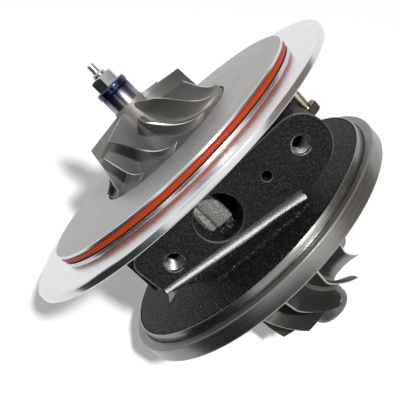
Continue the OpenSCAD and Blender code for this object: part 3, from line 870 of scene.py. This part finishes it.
class CARTRIDGE_OT_shaft(bpy.types.Operator):
    """Shaft with its threaded end, and the shaft nut"""

    bl_idname = "cartridge.shaft"
    bl_label = "Shaft and nut"

    def execute(self, context):
        shaft = [(-58.6, 0.0), (-58.6, 8.6), (-53.6, 8.6), (-53.6, 7.2), (-51.7, 7.2), (-51.7, 8.6),
                 (-49.4, 8.6), (-49.4, 7.2), (-47.4, 7.2), (-46.8, 5.0), (-34.1, 5.0), (-33.5, 4.6),
                 (-29.5, 4.6), (-28.9, 5.0), (-15.3, 5.0), (-15.3, 3.0), (32.0, 3.0), (32.4, 2.6),
                 (41.0, 2.6), (41.3, 2.3), (41.3, 1.75), (42.2, 1.6), (45.3, 1.5), (45.6, 1.2), (45.6, 0.0)]
        rod = gather([lathe(softened(shaft, 0.15), 96), thread(3.0, 32.6, 41.3, 0.75, 0.42)])
        dress(piece("shaft_ground", rod, ["bright_steel"], 35.0), "turbine_shaft", "rotor")

        collar = softened([(32.25, 3.0), (32.25, 6.3), (32.6, 6.65), (34.6, 6.65), (35.2, 6.1), (35.2, 3.0),
                           (32.25, 3.0)], 0.25)
        # The collar takes the painted dark reflection.
        nut = gather([lathe(collar, 128, 1), hexagon(sizes().nut_width / MM, 35.1, 39.95, 0.55)])
        dress(piece("nut_faced", nut, ["bright_steel", "steel_painted_dark"], 25.0), "shaft_nut", "rotor")
        return {"FINISHED"}


class CARTRIDGE_OT_bolts(bpy.types.Operator):
    """Back plate bolts"""

    bl_idname = "cartridge.bolts"
    bl_label = "Back plate bolts"

    # Degrees round the axis, and the radius of the bolt circle in millimetres
    angles = (62.6, 155.0, 247.4)
    bolt_circle = 54.4

    def execute(self, context):
        shank = softened([(-17.6, 0.0), (-17.6, 2.2), (-6.0, 2.2), (-6.0, 1.95), (2.2, 1.95), (2.5, 1.6),
                          (2.5, 0.0)], 0.1)
        head = hexagon(8.0, -17.5, -21.0, 0.5, 1)
        one = gather([lathe(shank, 64), thread(2.2, -6.0, 2.2, 0.8, 0.25), head])
        out = Matrix.Translation((0, 0, self.bolt_circle))
        turns = [Matrix.Rotation(math.radians(angle), 4, "X") for angle in self.angles]
        bolts = gather([moved(one, turn @ out) for turn in turns])
        dress(piece("bolts_zinc", bolts, ["yellow_zinc", "bolt_head"], 30.0), "back_plate_bolts", "housing")
        return {"FINISHED"}


class CARTRIDGE_OT_housing(bpy.types.Operator):
    """Bearing housing: sand casting, turned turbine flange, oil pad face and tapped holes"""

    bl_idname = "cartridge.housing"
    bl_label = "Bearing housing"

    # Millimetres: height of the pad, its skin over the casting, holes (x, y) and drillings (x, y, radius)
    pad_z = 46.0
    pad_skin = 0.28
    tapped = ((-20.1, -37.6), (-20.1, 21.7))
    drillings = ((-20.1, -21.8, 1.9), (-19.3, 0.0, 8.85))

    def execute(self, context):
        self.casting(context)
        self.turbine_flange()
        self.pad_face()
        self.pad_edge()
        self.pad_roll()
        self.corner_fin()
        self.drain_boss()
        self.hole_threads()
        return {"FINISHED"}

    def attach(self, obj):
        """Relief on the casting moves with the housing."""
        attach(obj, "housing")

    def casting(self, context):
        """Copy of the solid with the soft edges of a sand mould and a cut at the pad's corner."""
        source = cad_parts["bearing_housing"]
        obj = bpy.data.objects.new("housing_cast", source.data.copy())
        obj.matrix_world = source.matrix_world
        context.scene.collection.objects.link(obj)
        wedge = [(-26.7, 31.8), (-29.6, 25.0), (-33.2, 20.5), (-40.0, 20.5), (-40.0, 38.0), (-26.7, 38.0)]
        loops = [[(x, y, z) for x, y in wedge] for z in (29.0, 48.0)]
        cutter = piece("corner_cutter", prism(loops), ["cast_black"])
        corner = obj.modifiers.new("corner", "BOOLEAN")
        corner.operation, corner.object = "DIFFERENCE", cutter
        skin = obj.modifiers.new("skin", "REMESH")
        skin.mode, skin.voxel_size = "VOXEL", 0.5 * MM
        soft = obj.modifiers.new("soft", "SMOOTH")
        soft.factor, soft.iterations = 0.5, 5
        lean = obj.modifiers.new("lean", "DECIMATE")
        lean.ratio = 0.3
        context.view_layer.update()
        mesh = bpy.data.meshes.new_from_object(obj.evaluated_get(context.evaluated_depsgraph_get()))
        obj.modifiers.clear()
        obj.data = mesh
        bpy.data.objects.remove(cutter)
        mesh.materials.clear()
        mesh.materials.append(finish("cast_black"))
        mesh.polygons.foreach_set("use_smooth", [True] * len(mesh.polygons))
        dress(obj, "bearing_housing", "housing")

    def turbine_flange(self):
        """Turned rim, land and spigot, a hair proud of the casting."""
        outline = [(-46.0, 58.0), (-44.26, 58.0), (-44.26, 63.9), (-44.7, 64.34), (-50.7, 64.34),
                   (-51.34, 63.7), (-51.34, 55.04), (-54.34, 55.04), (-54.34, 52.0), (-46.0, 52.0),
                   (-46.0, 58.0)]
        self.attach(turned_piece("turbine_flange_turned", outline,
                                 lambda x, r: "cut_land" if x > -44.5 else "cut_iron", 360))

        wall = [(-41.0, 59.5), (-40.9, 60.0), (-44.24, 60.5), (-44.24, 59.5), (-41.0, 59.5)]
        self.attach(turned_piece("turned_wall", wall, lambda x, r: "cut_wall", 360, 0.1))

    def rim(self):
        """Edge of the pad from its blunt end round to its rolled side, and the edge of its flat top."""
        line = [(-24.7, 32.1), (-20.0, 32.6)] + arc(-13.6, 29.0, 4.0, 88, 0, 12)
        line += arc(-20.8, -37.0, 11.4, 0, -178, 40) + [(-33.7, -34.6), (-34.1, -26.4)]
        edge, inset = [Vector(p) for p in line], []
        for before, here, after in zip(edge[:1] + edge, edge, edge[1:] + edge[-1:]):
            run = after - before
            inset.append(here + Vector((run.y, -run.x)).normalized() * 0.3)
        return edge, inset

    def pad_face(self):
        """Flat top of the oil pad with its drillings."""
        loops = [self.rim()[1] + [(-31.9, -27.2)]]
        loops += [arc(x, y, 3.95, 0, 360, 64)[:-1] for x, y in self.tapped]
        loops += [arc(x, y, r + 0.25, 0, 360, 64)[:-1] for x, y, r in self.drillings]
        curve = bpy.data.curves.new("pad_outline", "CURVE")
        curve.dimensions, curve.fill_mode = "2D", "BOTH"
        curve.extrude = self.pad_skin / 2 * MM
        for loop in loops:
            spline = curve.splines.new("POLY")
            spline.points.add(len(loop) - 1)
            spline.use_cyclic_u = True
            for point, (x, y) in zip(spline.points, loop):
                point.co = (x * MM, y * MM, 0, 1)
        flat = bpy.data.objects.new("pad_outline", curve)
        mesh = bpy.data.meshes.new_from_object(flat)
        level = self.pad_z + self.pad_skin / 2
        points = [(v.co.x / MM, v.co.y / MM, level + v.co.z / MM) for v in mesh.vertices]
        faces = [tuple(f.vertices) for f in mesh.polygons]
        self.attach(piece("pad_face", (points, faces, [0] * len(faces)), ["pad_black"]))
        bpy.data.objects.remove(flat)

    def pad_edge(self):
        """Worn edge round the pad's face."""
        section = ((0.0, self.pad_skin), (1.0, -0.05), (1.02, -1.1), (0.0, -1.1))
        loops = []
        for outer, inner in zip(*self.rim()):
            loops.append([(*inner.lerp(outer, t), self.pad_z + z) for t, z in section])
        self.attach(piece("pad_edge", prism(loops), ["worn_edge"], 20.0))

    def pad_roll(self):
        """Gently rolled side of the pad, above the turbine flange."""
        a, b = Vector((-34.1, -27.0)), Vector((-26.9, 31.7))
        out = Vector((a.y - b.y, b.x - a.x)).normalized()
        # Distance from the pad's edge in millimetres, and the slope there in degrees
        slopes = [(-2.2, 0.0), (-0.4, 3.0), (1.4, 6.0), (2.6, 9.0), (3.0, 30.0)]
        loops = []
        for t in spread(48):
            q = a.lerp(b, t)
            wide = min(1.0, max(0.02, (32.0 - q.y) / 10.0))
            section = [(slopes[0][0], self.pad_skin)]
            for (d0, s0), (d1, s1) in zip(slopes, slopes[1:]):
                for k in spread(5)[1:]:
                    run = (d1 - d0) / 5 * (wide if d0 >= 0 else 1.0) * (1.05 - 0.5 * t)
                    d, z = section[-1]
                    section.append((d + run, z - run * math.tan(math.radians(s0 + (s1 - s0) * (k - 0.1)))))
            d, z = section[-1]
            section += [(d + 0.6 * wide * math.sin(k), z - (1 - math.cos(k))) for k in (0.8, 1.1, 1.4, 1.57)]
            section += [(d + 0.6 * wide, z - 4.0), (slopes[0][0], -1.0)]
            loops.append([(*(q + out * d), self.pad_z + z) for d, z in section])
        roll = piece("pad_roll", prism(loops), ["pad_gloss"], 50.0)
        self.attach(roll)
        strip_lit().objects.link(roll)

    def corner_fin(self):
        """Thin light grey wedge under the pad's corner."""
        low = [(-31.4, 31.2), (-28.0, 31.5), (-28.2, 32.6), (-32.6, 35.8)]
        high = [(-31.0, 31.5), (-28.3, 31.7), (-28.5, 32.4), (-32.0, 35.0)]
        levels = ((low, 30.3), (low, 39.0), (high, 40.15))
        loops = [[(x, y, z) for x, y in corners] for corners, z in levels]
        self.attach(piece("corner_fin_grey", prism(loops), ["wedge_grey"]))

    def drain_boss(self):
        """Rough boss left by the core, seen down the oil drain."""
        x0, reach, flat_end, bottom = self.drillings[1][0], 8.3, -24.6, 31.0
        profile = [(-2.9, 36.6), (-2.5, 37.4), (0.0, 37.6), (3.4, 37.4), (4.0, 37.0), (4.6, 36.0),
                   (5.2, 36.5), (6.4, 36.8), (7.6, 36.2), (8.1, 35.2)]
        loops = []
        for y, z in profile:
            wide = math.sqrt(reach ** 2 - y ** 2)
            xs = spread(10, max(flat_end, x0 - wide), x0 + wide)
            loops.append([(x, y, z) for x in xs] + [(x, y, bottom) for x in reversed(xs)])
        self.attach(piece("drain_boss_raw", prism(loops), ["raw_casting"], 40.0))

    def hole_threads(self):
        """Chamfered thread of each tapped hole, and the cut rims of the drain and inlet."""
        parts = []
        top = self.pad_z + self.pad_skin + 0.01
        for x, y in self.tapped:
            liner = [(top - 14.0, 3.42), (top - 0.55, 3.42), (top, 3.97), (top - 0.3, 4.1), (top - 14.0, 4.1),
                     (top - 14.0, 3.42)]
            hole = gather([lathe(liner, 64), thread(2.95, top - 13.0, top - 0.6, 1.25, -0.5)])
            parts.append(self.upright(hole, x, y))
        for x, y, r in self.drillings:
            rim = [(top - 3.0, r - 0.01), (top - 0.25, r - 0.01), (top, r + 0.27), (top - 0.3, r + 0.5),
                   (top - 3.0, r + 0.5), (top - 3.0, r - 0.01)]
            parts.append(self.upright(lathe(rim, 96, 1), x, y))
        self.attach(piece("pad_holes_cut", gather(parts), ["tapped_steel", "worn_edge"], 30.0))

    def upright(self, part, x, y):
        """Part turned from the rotor axis to stand at a place on the pad."""
        points, faces, marks = part
        return [(x + p[1], y + p[2], p[0]) for p in points], faces, marks


class CARTRIDGE_OT_inner_pieces(bpy.types.Operator):
    """Bearings, seals, shield and other inner pieces"""

    bl_idname = "cartridge.inner_pieces"
    bl_label = "Inner pieces"

    def execute(self, context):
        for node, name in (("compressor_seal_ring", "ring_iron"), ("turbine_seal_ring", "ring_iron"),
                           ("oil_deflector", "ground_steel"), ("thrust_bearing", "bearing_bronze"),
                           ("thrust_dowels", "ground_steel"), ("thrust_collar", "ground_steel"),
                           ("flinger_sleeve", "ground_steel"),
                           ("journal_bearing_compressor", "bearing_bronze"),
                           ("journal_bearing_turbine", "bearing_bronze"), ("bearing_circlips", "ring_iron"),
                           ("gallery_plug", "ground_steel"), ("heat_shield", "shield_steel")):
            paint(node, name)
        return {"FINISHED"}


# Camera, light and floor

# Places in metres, turns in degrees
CAMERA_AT = (0.04684, -0.03235, 0.25919)
CAMERA_TURN = (-16.087, -9.274, -132.2)
FOCAL_PIXELS = 658.0
CENTRE_PIXEL = (260.0, 192.2)
FRAME_PIXELS = 400.0
SENSOR_MM = 36.0
FLOOR_UP = (0.576, -0.697, 0.426)
FLOOR_AT = -0.0825
FLOOR_RADIUS = 1.2
LAMP_AIM = (-0.02, 0.0, 0.0)
CARDS = (
    ("card_far", (0.012, 0.013, 0.016, 1),
     ((-0.40, 0.26, 0.07), (0.25, 0.26, 0.0), (0.25, 0.25, 0.33), (-0.40, 0.25, 0.33))),
    ("card_shade", (0.17, 0.18, 0.20, 1),
     ((-0.40, 0.25, 0.33), (0.25, 0.25, 0.33), (0.25, 0.16, 0.37), (-0.40, 0.16, 0.37))),
    ("card_camera", (0.02, 0.02, 0.024, 1),
     ((-0.02, -0.06, 0.30), (0.09, -0.06, 0.30), (0.09, 0.06, 0.30), (-0.02, 0.06, 0.30))),
    ("card_near", (0.30, 0.265, 0.23, 1),
     ((-0.40, -0.34, -0.05), (0.25, -0.34, -0.05), (0.25, -0.36, 0.20), (-0.40, -0.37, 0.42))),
    ("card_over", (0.014, 0.014, 0.016, 1),
     ((-0.80, -0.05, 0.60), (-0.27, -0.05, 0.60), (-0.27, 0.45, 0.60), (-0.80, 0.45, 0.60))),
    ("card_dim", (0.12, 0.12, 0.13, 1),
     ((-0.80, -0.18, 0.60), (-0.27, -0.18, 0.60), (-0.27, -0.05, 0.60), (-0.80, -0.05, 0.60))),
)


class CARTRIDGE_OT_stage(bpy.types.Operator):
    """Camera, soft studio light and white floor"""

    bl_idname = "cartridge.stage"
    bl_label = "Camera and studio"

    def execute(self, context):
        scene = context.scene
        scene.view_settings.view_transform = "Standard"
        self.camera(scene)
        self.world(scene)
        self.floor(scene)
        self.lamps(scene)
        self.cards(scene)
        return {"FINISHED"}

    def camera(self, scene):
        """Camera that stands and looks as the photo's did."""
        cam = bpy.data.cameras.new("camera")
        cam.sensor_width = SENSOR_MM
        cam.lens = FOCAL_PIXELS / FRAME_PIXELS * SENSOR_MM
        cam.shift_x = 0.5 - CENTRE_PIXEL[0] / FRAME_PIXELS
        cam.shift_y = CENTRE_PIXEL[1] / FRAME_PIXELS - 0.5
        cam.clip_start, cam.clip_end = 0.01, 20.0
        obj = bpy.data.objects.new("camera", cam)
        turn = Euler([math.radians(a) for a in CAMERA_TURN])
        obj.matrix_world = Matrix.LocRotScale(Vector(CAMERA_AT), turn, None)
        scene.collection.objects.link(obj)
        scene.camera = obj

    def world(self, scene):
        """White surround that gives less light than it shows."""
        world = bpy.data.worlds.new("surround")
        world.use_nodes = True
        scene.world = world
        sh = Shader(world.node_tree)
        back = world.node_tree.nodes["Background"]
        back.inputs["Color"].default_value = (1, 1, 1, 1)
        sh.feed(back.inputs["Strength"], sh.span(sh.seen(), 0.0, 1.0, studio().sky, 1.0))

    def floor(self, scene):
        """White disc that the object leans on, clear from below."""
        mesh = bpy.data.meshes.new("floor")
        ring = arc(0.0, 0.0, FLOOR_RADIUS, 0, 360, 64)[:-1]
        mesh.from_pydata([(x, y, 0.0) for x, y in ring], [], [tuple(range(len(ring)))])
        obj = bpy.data.objects.new("floor", mesh)
        up = Vector(FLOOR_UP).normalized()
        obj.matrix_world = Matrix.Translation(up * FLOOR_AT) @ up.to_track_quat("Z", "Y").to_matrix().to_4x4()
        obj.visible_glossy = False
        f = Finish("floor_white", 0.0)
        white = f.sh.blend(f.sh.noise(f.sh.place(), 30.0), (0.88, 0.88, 0.885, 1), (0.90, 0.90, 0.90, 1))
        glow = tone([studio().floor_glow] * 3)
        f.set(Base_Color=white, Roughness=0.8, Emission_Strength=1.0,
              Emission_Color=f.sh.blend(f.sh.seen(), (0, 0, 0, 1), glow))
        behind = f.sh.add("ShaderNodeNewGeometry").outputs["Backfacing"]
        f.set(Alpha=f.sh.math("SUBTRACT", 1.0, behind))
        mesh.materials.append(f.material)
        scene.collection.objects.link(obj)

    def lamps(self, scene):
        """Key lamp, faint overhead lamp and the strip that lights the rolled side of the pad."""
        for name, power, at, size in (("key", studio().key_power, (0.609, -1.422, 2.571), (0.21, 0.21)),
                                      ("top", studio().fill_power, (0.0, 0.10, 0.55), (0.6, 0.6)),
                                      ("strip", studio().strip_power, (-0.266, 0.074, 0.457), (0.30, 0.03))):
            lamp = bpy.data.lights.new(name, "AREA")
            lamp.energy = power
            lamp.shape = "RECTANGLE"
            lamp.size, lamp.size_y = size
            obj = bpy.data.objects.new(name, lamp)
            obj.location = at
            obj.rotation_euler = (Vector(LAMP_AIM) - Vector(at)).to_track_quat("-Z", "Y").to_euler()
            obj.visible_diffuse = name != "strip"
            scene.collection.objects.link(obj)
        bpy.data.objects["strip"].light_linking.receiver_collection = strip_lit()

    def cards(self, scene):
        """Dark boards beside the object, which only its polished metal shows."""
        for name, colour, corners in CARDS:
            mesh = bpy.data.meshes.new(name)
            mesh.from_pydata(corners, [], [(0, 1, 2, 3)])
            f = Finish(name, 0.0)
            shade = f.sh.blend(f.sh.noise(f.sh.place(), 8.0), colour, tone(colour, 1.3))
            f.set(Base_Color=shade, Roughness=0.9)
            mesh.materials.append(f.material)
            obj = bpy.data.objects.new(name, mesh)
            obj.visible_camera = obj.visible_diffuse = obj.visible_shadow = False
            scene.collection.objects.link(obj)


class CARTRIDGE_PT_pieces(bpy.types.Panel):
    """Lists the cartridge's pieces and their values"""

    bl_idname = "CARTRIDGE_PT_pieces"
    bl_label = "Turbo cartridge"
    bl_space_type = "VIEW_3D"
    bl_region_type = "UI"
    bl_category = "Cartridge"

    def draw(self, context):
        for values in (sizes(), finishes(), studio()):
            column = self.layout.column(align=True)
            for key in values.__annotations__:
                column.prop(values, key)
        for step in STEPS:
            self.layout.operator(step.bl_idname)


STEPS = (CARTRIDGE_OT_stage, CARTRIDGE_OT_back_plate, CARTRIDGE_OT_rings, CARTRIDGE_OT_compressor_wheel,
         CARTRIDGE_OT_turbine_wheel, CARTRIDGE_OT_shaft, CARTRIDGE_OT_bolts, CARTRIDGE_OT_housing,
         CARTRIDGE_OT_inner_pieces)
VALUES = (("cartridge_sizes", CartridgeSizes), ("cartridge_finishes", CartridgeFinishes),
          ("cartridge_studio", CartridgeStudio))


def register():
    for key, kind in VALUES:
        bpy.utils.register_class(kind)
        setattr(bpy.types.Scene, key, bpy.props.PointerProperty(type=kind))
    for kind in STEPS + (CARTRIDGE_PT_pieces,):
        bpy.utils.register_class(kind)


def unregister():
    for kind in reversed(STEPS + (CARTRIDGE_PT_pieces,)):
        bpy.utils.unregister_class(kind)
    for key, kind in reversed(VALUES):
        delattr(bpy.types.Scene, key)
        bpy.utils.unregister_class(kind)


def main():
    register()
    for step in STEPS:
        area, verb = step.bl_idname.split(".")
        getattr(getattr(bpy.ops, area), verb)()


if __name__ == "__main__":
    main()
